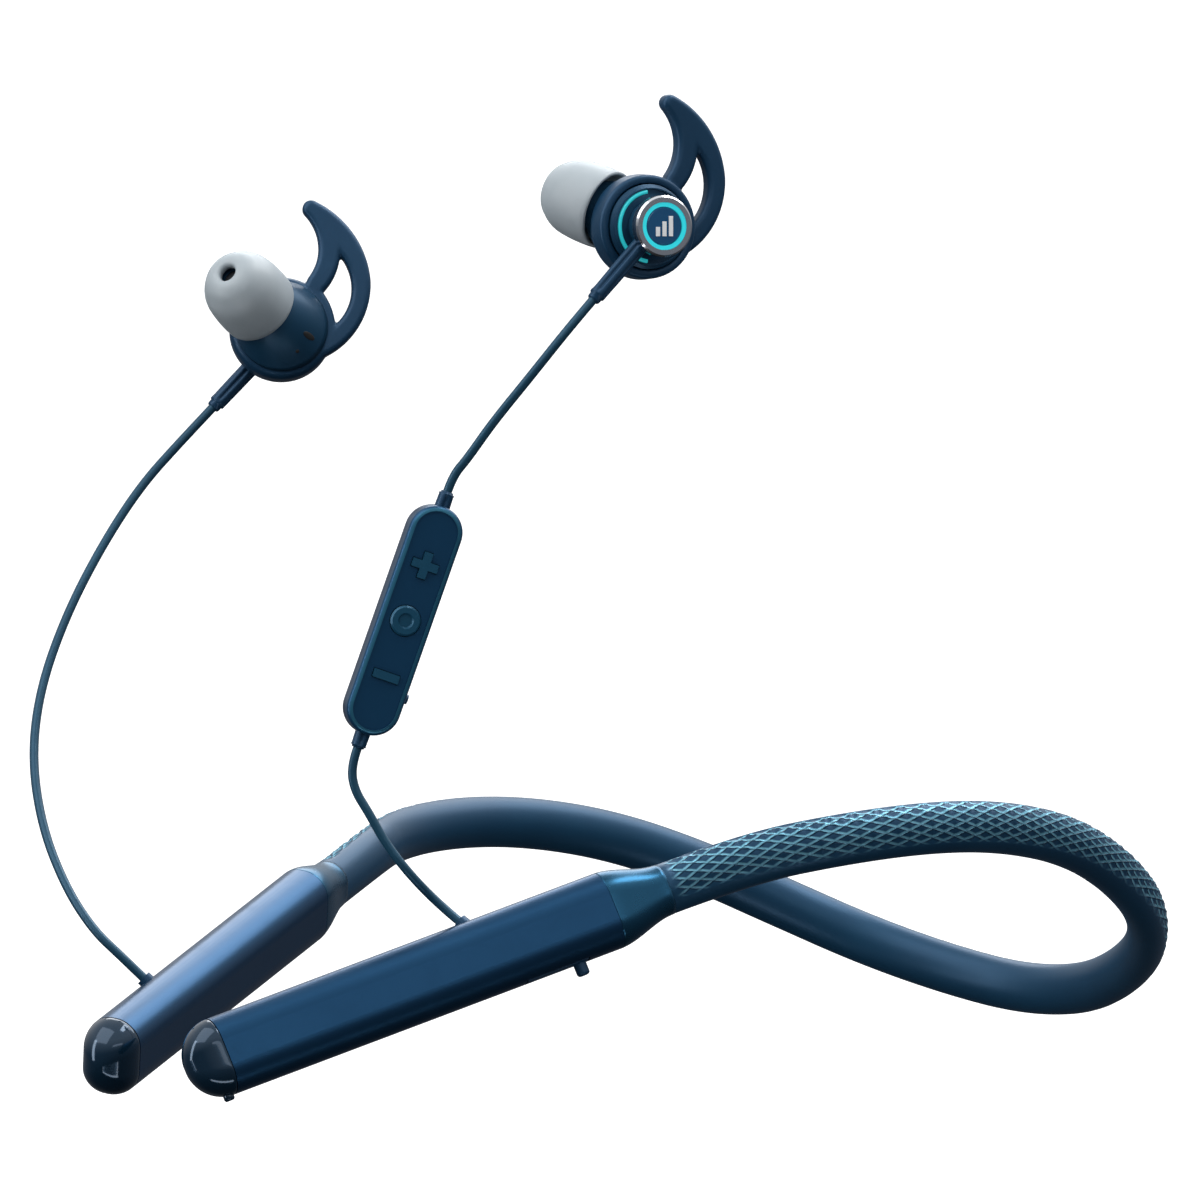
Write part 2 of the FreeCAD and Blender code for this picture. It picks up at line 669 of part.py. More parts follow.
make_band()
for side in (1, -1):
    make_collar(side)
    make_end_cap(side)
    make_pod_shell(side, True)
    make_pod_shell(side, False)
    make_gland(side)
make_charge_port()
make_battery()
make_remote_shells()
make_keys()
make_remote_insides()
for side, name in ((1, "left"), (-1, "right")):
    make_bud_housings(side, name)
    make_bud_insides(side, name)
    make_bud_trim(side, name)
    make_bud_relief(side, name)
    make_ear_tip(side, name)
    make_wing(side, name)
make_cords()

doc.recompute()
for obj in doc.Objects:
    if "Invalid" in obj.State or "Error" in obj.State:
        raise RuntimeError(f"{obj.Label} did not build: {obj.State}")
os.makedirs("parts", exist_ok=True)
for obj in made:
    if obj.Shape.isNull() or not obj.Shape.isValid() or not obj.Shape.Solids:
        raise RuntimeError(f"{obj.Label} has no valid solid")
    obj.Shape.exportStep(f"parts/{obj.Label}.step")
print(len(made), "sub-parts")
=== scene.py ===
"""Looks of a pair of neckband earphones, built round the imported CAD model, in metres."""
import json
import math

import bmesh
import bpy
from mathutils import Matrix, Vector
from mathutils.bvhtree import BVHTree
from mathutils.kdtree import KDTree


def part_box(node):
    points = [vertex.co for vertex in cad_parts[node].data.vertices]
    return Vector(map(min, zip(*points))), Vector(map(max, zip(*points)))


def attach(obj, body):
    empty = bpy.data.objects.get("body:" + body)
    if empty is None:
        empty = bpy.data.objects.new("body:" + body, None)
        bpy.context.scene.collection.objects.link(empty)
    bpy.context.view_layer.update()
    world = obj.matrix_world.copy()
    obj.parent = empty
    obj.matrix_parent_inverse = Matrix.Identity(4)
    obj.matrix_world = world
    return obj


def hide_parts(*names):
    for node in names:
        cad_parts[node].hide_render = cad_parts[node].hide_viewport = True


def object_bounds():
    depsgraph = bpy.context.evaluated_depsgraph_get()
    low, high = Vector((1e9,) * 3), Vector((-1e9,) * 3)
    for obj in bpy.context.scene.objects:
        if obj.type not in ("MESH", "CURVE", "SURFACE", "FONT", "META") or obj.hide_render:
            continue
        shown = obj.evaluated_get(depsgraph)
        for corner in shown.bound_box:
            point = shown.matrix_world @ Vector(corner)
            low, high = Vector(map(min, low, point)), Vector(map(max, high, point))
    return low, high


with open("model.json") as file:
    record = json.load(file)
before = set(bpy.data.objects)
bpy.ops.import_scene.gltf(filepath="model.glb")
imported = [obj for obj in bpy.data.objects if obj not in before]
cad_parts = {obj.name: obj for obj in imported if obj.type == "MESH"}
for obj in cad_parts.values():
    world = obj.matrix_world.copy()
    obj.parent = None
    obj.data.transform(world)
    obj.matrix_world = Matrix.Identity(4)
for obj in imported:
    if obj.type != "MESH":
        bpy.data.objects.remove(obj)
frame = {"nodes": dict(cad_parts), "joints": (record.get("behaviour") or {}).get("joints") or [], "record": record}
cad_low, cad_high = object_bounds()

MM = 0.001
joints = {joint["name"]: joint for joint in frame["joints"]}
mounts = {mount["name"]: mount for mount in frame["record"]["mounts"]}

# ---------------------------------------------------------------- places, read from the frame


def basis(origin, x, y, z):
    """The matrix that puts a piece made at the origin in its place."""
    turn = Matrix((x, y, z)).transposed().to_4x4()
    return Matrix.Translation(origin) @ turn


def node_middle(*nodes):
    corners = [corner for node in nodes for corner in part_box(node)]
    low = Vector(min(corner[i] for corner in corners) for i in range(3))
    high = Vector(max(corner[i] for corner in corners) for i in range(3))
    return (low + high) / 2


def left_pod_place():
    """X runs from the pod's seam to its tip, Y out from the wearer, Z up."""
    y = -Vector(joints["flap_hinge"]["axis"])
    z = -Vector(mounts["charge_plug"]["axis"])
    x = y.cross(z)
    seam = Vector(mounts["charge_plug"]["pos_m"]) - x * PORT_AT + z * PORT_MOUTH
    return basis(seam, x, y, z)


def right_pod_place():
    """The left pod's place, mirrored, with Y in towards the wearer so that it stays right-handed."""
    left = left_pod_place()
    x, y, z, seam = (Vector(left.col[i][:3]) for i in range(4))
    for vector in (x, y, z, seam):
        vector.x = -vector.x
    return basis(seam, x, -y, z)


def bud_place(side):
    """Z points into the ear and Y is up."""
    joint = joints[side + "_wing_turn"]
    z = Vector(joint["axis"])
    x = Vector((0, 0, 1)).cross(z).normalized()
    return basis(Vector(joint["pos_m"]), x, z.cross(x), z)


def remote_place():
    """Y runs up the remote and Z is the way that its keys face."""
    top, bottom = node_middle("remote_upper_relief"), node_middle("remote_lower_relief")
    z = -Vector(joints["play_press"]["axis"])
    y = (top - bottom).normalized()
    return basis((top + bottom) / 2, y.cross(z), y, z)


# Sizes that the CAD model was built to.
PORT_AT, PORT_MOUTH = 12.0 * MM, 4.6 * MM
POD_LENGTH, POD_TALL, POD_THICK, POD_CORNER = 70.5 * MM, 13.0 * MM, 9.4 * MM, 4.4 * MM
CAP_LENGTH, COLLAR_LENGTH = 6.3 * MM, 10.5 * MM
BAND_TALL, BAND_THICK = 8.5 * MM, 6.9 * MM
CORD_WIDE = 1.5 * MM

PODS = {"left": left_pod_place(), "right": right_pod_place()}
BUDS = {"left": bud_place("left"), "right": bud_place("right")}
REMOTE = remote_place()
OUTWARD = {"left": 1, "right": -1}  # which way along Y each pod faces out, and X each wing leaves its bud

# ---------------------------------------------------------------- shader maths


class Value:
    """A shader socket that can be used in sums."""

    def __init__(self, finish, socket):
        self.finish = finish
        self.socket = socket

    def _math(self, operation, *values):
        return self.finish.node("ShaderNodeMath", {"operation": operation}, values)

    def __add__(self, other):
        return self._math("ADD", self, other)

    def __radd__(self, other):
        return self._math("ADD", other, self)

    def __sub__(self, other):
        return self._math("SUBTRACT", self, other)

    def __rsub__(self, other):
        return self._math("SUBTRACT", other, self)

    def __mul__(self, other):
        return self._math("MULTIPLY", self, other)

    def __rmul__(self, other):
        return self._math("MULTIPLY", other, self)

    def fraction(self):
        return self._math("FRACT", self)

    def least(self, other):
        return self._math("MINIMUM", self, other)

    def most(self, other):
        return self._math("MAXIMUM", self, other)


class Finish:
    """A node material, written as expressions."""

    def __init__(self, name):
        self.material = bpy.data.materials.new(name)
        self.material.use_nodes = True
        self.tree = self.material.node_tree
        self.shader = self.tree.nodes["Principled BSDF"]
        self.place = Value(self, self._new("ShaderNodeTexCoord").outputs["Object"])

    def _new(self, kind):
        return self.tree.nodes.new(kind)

    def _feed(self, socket, value):
        if isinstance(value, Value):
            self.tree.links.new(value.socket, socket)
        else:
            socket.default_value = value

    def node(self, kind, settings=None, values=(), output=0):
        """A node with its settings made first, then the values or links of its sockets."""
        node = self._new(kind)
        for name, setting in (settings or {}).items():
            if name == "stops":
                self._stops(node.color_ramp, setting)
            else:
                setattr(node, name, setting)
        named = values.items() if isinstance(values, dict) else enumerate(values)
        for key, value in named:
            self._feed(node.inputs[key], value)
        return Value(self, node.outputs[output])

    def _stops(self, ramp, stops):
        for element, (position, shade) in zip(ramp.elements, stops[:2]):
            element.position = position
            element.color = (shade, shade, shade, 1)
        for position, shade in stops[2:]:
            element = ramp.elements.new(position)
            element.color = (shade, shade, shade, 1)

    def noise(self, scale, detail=3.0):
        return self.node("ShaderNodeTexNoise", {}, {"Vector": self.place, "Scale": scale, "Detail": detail})

    def ramp(self, value, *stops):
        return self.node("ShaderNodeValToRGB", {"stops": stops}, [value])

    def blend(self, factor, first, second):
        """Two colours mixed by a factor."""
        node = self._new("ShaderNodeMix")
        node.data_type = "RGBA"
        sockets = (node.inputs["Factor"], node.inputs[6], node.inputs[7])
        for socket, value in zip(sockets, (factor, first, second)):
            self._feed(socket, value)
        return Value(self, node.outputs[2])

    def rising(self, value, low, high):
        """0 up to low, 1 from high, and smooth between."""
        return self.node("ShaderNodeMapRange", {"interpolation_type": "SMOOTHSTEP"},
                         {"Value": value, "From Min": low, "From Max": high})

    def attribute(self, name):
        return self.node("ShaderNodeAttribute", {"attribute_name": name}, output=2)

    def bump(self, height, distance, strength=1.0):
        given = {"Height": height, "Distance": distance, "Strength": strength}
        return self.node("ShaderNodeBump", {}, given)

    def set(self, **sockets):
        """Feed the shader's sockets, named with underscores for spaces."""
        for name, value in sockets.items():
            self._feed(self.shader.inputs[name.replace("_", " ")], value)
        return self.material


def shade(red, green, blue):
    return (red, green, blue, 1.0)


# The third shade is the pale teal painted on the band's scale edges as a highlight.
DEEP, MID, PAINTED_HIGHLIGHT = shade(0.006, 0.038, 0.085), shade(0.010, 0.060, 0.125), shade(0.150, 0.380, 0.500)


def moulded(name, first, second, roughness, grain=0.00002, coat=0.0, metallic=0.0):
    """Moulded plastic or rubber: faint cloudiness in the colour, an uneven sheen and a fine grain."""
    finish = Finish(name)
    cloud = finish.noise(60.0)
    fine = finish.noise(5200.0, 2.0)
    scuff = finish.ramp(finish.noise(300.0, 6.0), (0.50, 0.0), (0.70, 1.0))
    return finish.set(
        Base_Color=finish.blend(cloud, first, second),
        Roughness=roughness + 0.04 * fine + 0.03 * scuff,
        Normal=finish.bump(fine, grain, 0.5),
        Coat_Weight=coat,
        Metallic=metallic,
        Specular_IOR_Level=0.3,
    )


def band_rubber():
    """Soft satin rubber. Its scales have a painted highlight on their pale lower edges, and painted shade darkens
    the grooves that part them.
    """
    finish = Finish("band_rubber")
    p, q, there = (finish.attribute(name) for name in ("scale_along", "scale_round", "scale_mask"))
    u, v = (p - q).fraction(), (0 - p - q).fraction()
    near, far = u.least(v), u.most(v)
    groove = 1 - finish.rising(near, 0.0, 0.14) * (1 - finish.rising(far, 0.93, 1.0))
    # the pale lower edge of each scale is a painted highlight
    edge = finish.rising(far, 0.62, 0.84) * (1 - finish.rising(far, 0.90, 0.98)) * there
    plain = finish.blend(finish.noise(60.0), DEEP, MID)
    # painted shade darkens the grooves between the scales
    groove_shaded = finish.blend(groove * there * 0.6, plain, shade(0.002, 0.012, 0.028))
    fine = finish.noise(4200.0, 2.0)
    grain = finish.bump(fine, 0.00002, 0.5)
    tiles = (0.3 + 0.35 * (u + v)) * (1 - groove) * there
    given = {"Height": tiles, "Distance": 0.0004, "Strength": 0.6, "Normal": grain}
    relief = finish.node("ShaderNodeBump", {}, given)
    return finish.set(
        Base_Color=finish.blend(edge, groove_shaded, PAINTED_HIGHLIGHT),
        Roughness=0.36 + 0.06 * fine,
        Metallic=0.35 + 0.25 * edge,
        Normal=relief,
        Specular_IOR_Level=0.3,
    )


def remote_face():
    """Navy satin, darker on the sunk face between the rims than round them; the paler rims are a painted
    highlight.
    """
    finish = Finish("remote_face")
    flat = REMOTE.inverted().to_euler()
    local = finish.node("ShaderNodeVectorMath", {"operation": "SUBTRACT"},
                        [finish.place, REMOTE.translation])
    local = finish.node("ShaderNodeMapping", {}, {"Vector": local, "Rotation": flat})
    height = finish.node("ShaderNodeSeparateXYZ", {}, [local], 2)
    # the paler rims round the sunk face are a painted edge highlight
    rim = finish.node("ShaderNodeMapRange", {},
                      {"Value": height, "From Min": 2.46 * MM, "From Max": 2.60 * MM})
    fine = finish.noise(5200.0, 2.0)
    return finish.set(
        Base_Color=finish.blend(rim, shade(0.008, 0.055, 0.125), shade(0.024, 0.125, 0.205)),
        Roughness=0.27 + 0.05 * fine,
        Normal=finish.bump(fine, 0.00002, 0.5),
        Metallic=0.5,
        Specular_IOR_Level=0.3,
    )


def tip_silicone():
    finish = Finish("tip_silicone")
    cloud = finish.noise(300.0)
    finish.set(Subsurface_Weight=0.35, Subsurface_Radius=(0.004, 0.004, 0.004), Subsurface_Scale=0.5)
    return finish.set(
        Base_Color=finish.blend(cloud, shade(0.30, 0.345, 0.375), shade(0.35, 0.395, 0.425)),
        Roughness=0.42 + 0.08 * finish.noise(2500.0),
        Normal=finish.bump(finish.noise(3800.0), 0.00002, 0.4),
    )


def metal(name, colour, roughness):
    """Polished or turned metal with a slightly uneven polish."""
    finish = Finish(name)
    uneven = finish.noise(900.0, 4.0)
    return finish.set(
        Base_Color=finish.blend(uneven, colour, tuple(0.85 * c for c in colour[:3]) + (1.0,)),
        Roughness=roughness + 0.08 * uneven,
        Metallic=1.0,
    )


def glow_and_painted_reflection(name, colour, strength):
    """A light guide, brighter along its middle. On the halo crescent the same glow is a painted reflection on a
    glossy ring.
    """
    finish = Finish(name)
    glow = finish.ramp(finish.noise(700.0, 1.0), (0.2, 0.75), (0.8, 1.0))
    return finish.set(
        Base_Color=finish.blend(glow, tuple(0.7 * c for c in colour[:3]) + (1.0,), colour),
        Emission_Color=finish.blend(glow, tuple(0.8 * c for c in colour[:3]) + (1.0,), colour),
        Emission_Strength=strength,
        Roughness=0.25,
    )


def circuit_board():
    """Green solder mask with paler tracks."""
    finish = Finish("circuit_board")
    cells = finish.node("ShaderNodeTexVoronoi", {"feature": "DISTANCE_TO_EDGE"},
                        {"Vector": finish.place, "Scale": 900.0})
    track = finish.ramp(cells, (0.04, 1.0), (0.07, 0.0))
    return finish.set(
        Base_Color=finish.blend(track, shade(0.01, 0.09, 0.03), shade(0.05, 0.22, 0.08)),
        Roughness=0.35 + 0.1 * finish.noise(1500.0),
    )


FINISHES = {
    "band_silicone": band_rubber(),
    "pod_satin": moulded("pod_satin", shade(0.011, 0.051, 0.118), shade(0.013, 0.059, 0.132),
                         0.28, metallic=0.85),
    "collar_satin": moulded("collar_satin", shade(0.014, 0.072, 0.138), shade(0.017, 0.082, 0.154),
                            0.24, metallic=0.85),
    "dark_gloss": moulded("dark_gloss", shade(0.004, 0.020, 0.042), shade(0.007, 0.030, 0.060),
                          0.10, 0.000004, 0.4, 0.5),
    "bud_gloss": moulded("bud_gloss", shade(0.006, 0.036, 0.080), shade(0.010, 0.055, 0.110),
                         0.34, metallic=0.3),
    "soft_navy": moulded("soft_navy", shade(0.006, 0.034, 0.078), shade(0.010, 0.052, 0.112),
                         0.36, 0.00003, metallic=0.3),
    "cord_jacket": moulded("cord_jacket", shade(0.008, 0.045, 0.085), shade(0.014, 0.068, 0.118),
                           0.32, metallic=0.3),
    "tip_silicone": tip_silicone(),
    "trim_chrome": metal("trim_chrome", shade(0.72, 0.75, 0.80), 0.10),
    "glow_ring": glow_and_painted_reflection("glow_ring", shade(0.02, 0.46, 0.52), 0.75),
    # The halo's cyan glow is a painted reflection on a glossy ring, not a light.
    "halo_painted_reflection": glow_and_painted_reflection("halo_painted_reflection", shade(0.02, 0.40, 0.44), 0.65),
    "disc_blue": moulded("disc_blue", shade(0.005, 0.055, 0.15), shade(0.008, 0.085, 0.20),
                         0.22, 0.00001, 0.4),
    "mark_white": moulded("mark_white", shade(0.80, 0.82, 0.84), shade(0.86, 0.87, 0.88), 0.35, 0.000005),
    "key_plastic": moulded("key_plastic", shade(0.008, 0.060, 0.115), shade(0.012, 0.080, 0.145),
                           0.28, metallic=0.3),
    "remote_face": remote_face(),
    "switch_black": moulded("switch_black", shade(0.01, 0.01, 0.01), shade(0.02, 0.02, 0.02), 0.5),
    "circuit_board": circuit_board(),
    "socket_steel": metal("socket_steel", shade(0.58, 0.58, 0.60), 0.25),
    "spring_steel": metal("spring_steel", shade(0.50, 0.51, 0.53), 0.3),
    "driver_steel": metal("driver_steel", shade(0.50, 0.50, 0.52), 0.3),
    "screen_steel": metal("screen_steel", shade(0.10, 0.10, 0.11), 0.45),
    "cell_foil": metal("cell_foil", shade(0.70, 0.70, 0.72), 0.35),
}

# ---------------------------------------------------------------- mesh helpers


def finished(bm, name, place, slot, body, stands_for=(), finish=None, soft_edges=None, smooth=True):
    """Close a mesh, put it in its place and attach it to its body, hiding the CAD parts that it stands for."""
    bmesh.ops.remove_doubles(bm, verts=bm.verts, dist=1e-7)
    bmesh.ops.recalc_face_normals(bm, faces=bm.faces)
    bm.transform(place)
    mesh = bpy.data.meshes.new(name)
    bm.to_mesh(mesh)
    bm.free()
    return piece_from(mesh, name, slot, body, stands_for, finish, soft_edges, smooth)


def piece_from(mesh, name, slot, body, stands_for=(), finish=None, soft_edges=None, smooth=True):
    piece = bpy.data.objects.new(name, mesh)
    bpy.context.scene.collection.objects.link(piece)
    mesh.materials.clear()
    mesh.materials.append(FINISHES[finish or slot])
    mesh.polygons.foreach_set("use_smooth", [smooth] * len(mesh.polygons))
    if soft_edges:
        soften(piece, soft_edges)
    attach(piece, body)
    if stands_for:
        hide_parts(*stands_for)
    return piece


def soften(piece, width, segments=3):
    """Round the sharp edges of a piece, so that they catch the light."""
    bevel = piece.modifiers.new("soft edges", "BEVEL")
    bevel.width = width
    bevel.segments = segments
    bevel.limit_method = "ANGLE"
    bevel.angle_limit = math.radians(35)
    bevel.harden_normals = False


def swept(rings, segments, place):
    """A skin drawn through rings: place(turn, ring) gives each vertex its place on a ring."""
    bm = bmesh.new()
    turn = bm.verts.layers.float.new("turn")
    bmesh.ops.create_circle(bm, segments=segments, radius=1.0)
    edges = bm.edges[:]
    verts = bm.verts[:]
    for vert in verts:
        vert[turn] = math.atan2(vert.co.y, vert.co.x)
    for i, ring in enumerate(rings):
        if i:
            grown = bmesh.ops.extrude_edge_only(bm, edges=edges)["geom"]
            verts = [item for item in grown if isinstance(item, bmesh.types.BMVert)]
            edges = edges_between(grown, verts)
        for vert in verts:
            vert.co = place(vert[turn], ring)
    return bm


def edges_between(grown, verts):
    """The new edges whose two ends are both new."""
    new = set(verts)
    return [item for item in grown if isinstance(item, bmesh.types.BMEdge) and new.issuperset(item.verts)]


def close_ends(bm):
    bmesh.ops.holes_fill(bm, edges=[edge for edge in bm.edges if edge.is_boundary], sides=0)


def lathed(profile, segments=64):
    """A profile of (radius, height) turned about Z.

    A profile that ends off the axis is closed to its start.
    """
    bm = bmesh.new()
    verts = [bm.verts.new((radius, 0, height)) for radius, height in profile]
    pairs = list(zip(verts, verts[1:]))
    if profile[0][0] > 0 and profile[-1][0] > 0:
        pairs.append((verts[-1], verts[0]))
    edges = [bm.edges.new(pair) for pair in pairs]
    bmesh.ops.spin(bm, geom=verts + edges, cent=(0, 0, 0), axis=(0, 0, 1), angle=math.tau,
                   steps=segments, use_merge=True)
    bmesh.ops.remove_doubles(bm, verts=bm.verts, dist=1e-7)
    return bm


def arc(start, through, end, steps):
    """Points from start to end on the circle through three points, without the start."""
    (ax, ay), (bx, by), (cx, cy) = start, through, end
    d = 2 * (ax * (by - cy) + bx * (cy - ay) + cx * (ay - by))
    ux = ((ax**2 + ay**2) * (by - cy) + (bx**2 + by**2) * (cy - ay) + (cx**2 + cy**2) * (ay - by)) / d
    uy = ((ax**2 + ay**2) * (cx - bx) + (bx**2 + by**2) * (ax - cx) + (cx**2 + cy**2) * (bx - ax)) / d
    radius = math.hypot(ax - ux, ay - uy)
    first = math.atan2(ay - uy, ax - ux)
    last = math.atan2(cy - uy, cx - ux)
    middle = math.atan2(by - uy, bx - ux)
    sweep = (last - first) % math.tau
    if (middle - first) % math.tau > sweep:
        sweep -= math.tau
    turns = [first + sweep * i / steps for i in range(1, steps + 1)]
    return [(ux + radius * math.cos(turn), uy + radius * math.sin(turn)) for turn in turns]


def drawn(points, steps=12):
    """An outline whose four-value points are reached by an arc through their last two values."""
    line = [points[0][:2]]
    for point in points[1:]:
        if len(point) == 4:
            line += arc(line[-1], point[2:], point[:2], steps)
        else:
            line.append(point)
    return line


def in_mm(points):
    return [tuple(MM * value for value in point) for point in points]


def rounded_rectangle(turn, half_y, half_z, corner):
    """The point of a rounded rectangle that lies at an even share of its outline, from the middle of +Y."""
    flat_y, flat_z = half_y - corner, half_z - corner
    quarter = corner * math.pi / 2
    length = 4 * (flat_y + flat_z + quarter)
    left = (turn % math.tau) / math.tau * length
    heading = 0.0
    y, z = half_y, 0.0
    runs = ((flat_z, 0), (quarter, 1), (2 * flat_y, 0), (quarter, 1), (2 * flat_z, 0), (quarter, 1),
            (2 * flat_y, 0), (quarter, 1), (flat_z, 0))
    for run, bends in runs:
        step = min(left, run)
        if bends:
            angle = step / corner if corner > 0 else 0.0
            centre_y = y - corner * math.cos(heading)
            centre_z = z - corner * math.sin(heading)
            heading += angle
            y = centre_y + corner * math.cos(heading)
            z = centre_z + corner * math.sin(heading)
        else:
            y -= step * math.sin(heading)
            z += step * math.cos(heading)
        left -= step
        if left <= 0:
            break
    return y, z


def eased(value, low, high):
    share = min(1.0, max(0.0, (value - low) / (high - low)))
    return share * share * (3 - 2 * share)


def fluted(length, radius, flutes, depth):
    """A strain relief with lengthwise flutes that ends in a narrow step round the cord."""
    # each ring's place along the relief and its radius, as shares of the whole
    rings = [
        (0.0, 0.86), (0.02, 0.96), (0.05, 1.0), (0.12, 1.0), (0.3, 1.0), (0.6, 0.98),
        (0.84, 0.95), (0.9, 0.95), (0.925, 0.93), (0.93, 0.78), (0.985, 0.76), (1.0, 0.68),
    ]
    deepening, fading = (0.04, 0.12), (0.84, 0.9)

    def place(turn, ring):
        along, shrink = ring
        fluted_here = eased(along, *deepening) * (1 - eased(along, *fading))
        flute = 1 - depth * fluted_here * (0.5 + 0.5 * math.cos(flutes * turn)) ** 3
        reach = radius * shrink * flute
        return Vector((reach * math.cos(turn), reach * math.sin(turn), along * length))

    bm = swept(rings, 96, place)
    close_ends(bm)
    return bm


# ---------------------------------------------------------------- camera, light and floor


def stage():
    """A pale bowl of a floor that rises far behind the object on every side."""
    rings = [(0.0, 0.0), (3.0, 0.0), (6.2, 0.0), (6.6, 0.1), (7.1, 0.7), (7.4, 2.2), (7.5, 4.5)]
    bm = bmesh.new()
    verts = [bm.verts.new((radius, 0, height)) for radius, height in rings]
    edges = [bm.edges.new(pair) for pair in zip(verts, verts[1:])]
    bmesh.ops.spin(bm, geom=verts + edges, cent=(0, 0, 0), axis=(0, 0, 1), angle=math.tau,
                   steps=96, use_merge=True)
    bmesh.ops.remove_doubles(bm, verts=bm.verts, dist=1e-6)
    bmesh.ops.recalc_face_normals(bm, faces=bm.faces)
    drop = 0.10  # from the object's lowest point to the floor
    bm.transform(Matrix.Translation((0, -0.1, cad_low.z - drop)))
    mesh = bpy.data.meshes.new("floor")
    bm.to_mesh(mesh)
    bm.free()
    mesh.polygons.foreach_set("use_smooth", [True] * len(mesh.polygons))
    floor = bpy.data.objects.new("floor", mesh)
    bpy.context.scene.collection.objects.link(floor)
    floor.visible_diffuse = False
    floor.visible_glossy = False
    floor.visible_shadow = False
    paint = Finish("floor_paint")
    white = shade(0.95, 0.95, 0.95)
    mesh.materials.append(paint.set(Base_Color=white, Roughness=1.0, Specular_IOR_Level=0.0,
                                    Emission_Color=white, Emission_Strength=0.62))


def lamp(name, at, target, energy, size):
    data = bpy.data.lights.new(name, "AREA")
    data.energy = energy
    data.shape = "RECTANGLE"
    data.size, data.size_y = size
    light = bpy.data.objects.new(name, data)
    light.location = at
    light.rotation_mode = "QUATERNION"
    light.rotation_quaternion = (Vector(target) - Vector(at)).to_track_quat("-Z", "Y")
    bpy.context.scene.collection.objects.link(light)


VIEW_AZIMUTH = math.radians(48)
RIGHTWARD = Vector((math.cos(VIEW_AZIMUTH), math.sin(VIEW_AZIMUTH), 0))
TOWARDS_VIEWER = Vector((math.sin(VIEW_AZIMUTH), -math.cos(VIEW_AZIMUTH), 0))
UPWARD = Vector((0, 0, 1))


def camera():
    """A long lens at the height of the object's middle."""
    distance, field, sensor = 4.0, 0.1967, 36.0
    target = Vector((0.0088, -0.1060, 0.0651))
    data = bpy.data.cameras.new("camera")
    data.sensor_width = sensor
    data.lens = sensor * distance / field
    data.clip_start, data.clip_end = 0.05, 60.0
    eye = bpy.data.objects.new("camera", data)
    eye.location = target + TOWARDS_VIEWER * distance
    eye.rotation_mode = "QUATERNION"
    eye.rotation_quaternion = (-TOWARDS_VIEWER).to_track_quat("-Z", "Y")
    bpy.context.scene.collection.objects.link(eye)
    bpy.context.scene.camera = eye


def surround():
    """An even studio: bright overhead, paler at eye level and dim underneath."""
    world = bpy.data.worlds.new("surround")
    world.use_nodes = True
    nodes, links = world.node_tree.nodes, world.node_tree.links
    place = nodes.new("ShaderNodeTexCoord")
    split = nodes.new("ShaderNodeSeparateXYZ")
    height = nodes.new("ShaderNodeMapRange")
    height.inputs["From Min"].default_value = -1.0
    ramp = nodes.new("ShaderNodeValToRGB")
    for element, (position, level) in zip(ramp.color_ramp.elements, ((0.10, 0.02), (0.80, 0.95))):
        element.position = position
        element.color = shade(level, level, level)
    middle = ramp.color_ramp.elements.new(0.50)
    middle.color = shade(0.13, 0.14, 0.16)
    links.new(place.outputs["Generated"], split.inputs[0])
    links.new(split.outputs["Z"], height.inputs["Value"])
    links.new(height.outputs[0], ramp.inputs["Fac"])
    links.new(ramp.outputs["Color"], nodes["Background"].inputs["Color"])
    nodes["Background"].inputs["Strength"].default_value = 1.05
    bpy.context.scene.world = world


# Each lamp's name, how far it stands to the right of, above and behind the object, its power
# and its size. Distances are in metres, from the viewer's side.
LAMPS = [
    ("key_box", (-0.55, 0.8, -0.5), 5.0, (0.9, 0.9)),
    ("side_box", (-0.9, 0.1, -0.35), 3.0, (0.2, 0.8)),
    ("back_box", (0.3, 0.7, 0.5), 7.0, (1.3, 0.5)),
    ("front_strip", (0.35, 0.25, -0.9), 0.4, (0.7, 0.10)),
    ("low_strip", (0.1, -0.75, -0.55), 1.6, (1.0, 0.12)),
    ("top_strip", (0.45, 0.9, -0.05), 4.0, (0.6, 0.25)),
]


def studio():
    """Soft boxes above, to the left and behind, and three strips for edge highlights."""
    target = Vector((0.0, -0.1, 0.05))
    for name, (right, up, back), energy, size in LAMPS:
        at = target + RIGHTWARD * right + UPWARD * up - TOWARDS_VIEWER * back
        lamp(name, at, target, energy, size)
    bpy.context.scene.view_settings.view_transform = "Standard"


camera()
surround()
studio()
stage()

# ---------------------------------------------------------------- cords

CORDS = {
    "left_lower_cord": [
        (26.47, -152.54, 12.98), (23.18, -154.42, 15.93), (21.9, -160.1, 21.3), (19.5, -162.8, 26.2),
        (17.9, -164.6, 30.6), (16.3, -166.3, 34.3), (15.91, -166.70, 38.12), (16.62, -165.91, 41.14),
    ],
    "left_upper_cord": [
        (26.38, -155.09, 82.66), (27.00, -154.40, 85.30), (28.8, -152.9, 88.0), (32.1, -150.3, 93.9),
        (36.8, -146.6, 101.1), (41.07, -141.65, 109.32), (42.34, -137.76, 113.71),
    ],
    "right_cord": [
        (-22.05, -178.28, 3.57), (-24.67, -180.96, 7.18), (-28.5, -183.5, 11.3),
        (-34.7, -184.1, 18.2), (-41.4, -183.4, 27.9), (-47.5, -180.4, 39.2), (-51.5, -175.2, 50.5),
        (-53.6, -167.8, 62.5), (-54.6, -159.2, 73.9), (-54.9, -150.5, 83.8),
        (-53.52, -143.07, 91.08), (-51.04, -138.07, 96.81),
    ],
}


